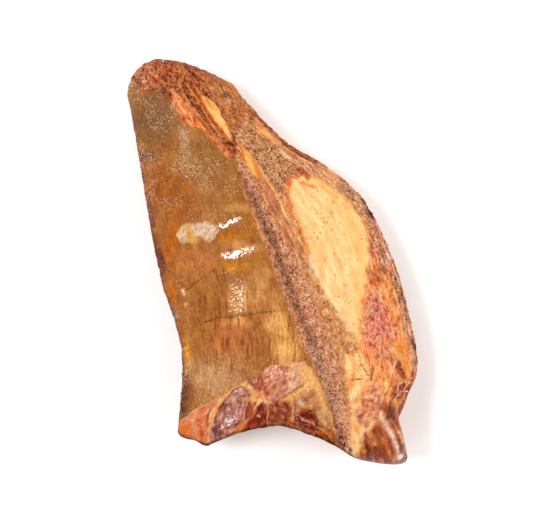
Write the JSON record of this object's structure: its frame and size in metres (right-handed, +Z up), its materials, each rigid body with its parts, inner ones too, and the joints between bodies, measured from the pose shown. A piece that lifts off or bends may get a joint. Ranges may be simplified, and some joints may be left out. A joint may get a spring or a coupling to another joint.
{
  "type": "fossil dinosaur tooth",
  "caption": "Fossil dinosaur tooth: a flattened, curved crown with serrated edges, a worn tip, a sand-filled furrow and a broken base, lying on its flatter face.",
  "frame": {"origin": "under the middle of the tooth's box, on the surface that it rests on", "axes": "+Y from the broken base to the worn tip, +X to the convex front edge, +Z up from the resting face"},
  "size_m": [0.0436, 0.0608, 0.0132],
  "materials": {
    "fossil_tooth": "satin"
  },
  "bodies": {
    "root": {"tooth": "fossil_tooth"}
  },
  "joints": []
}
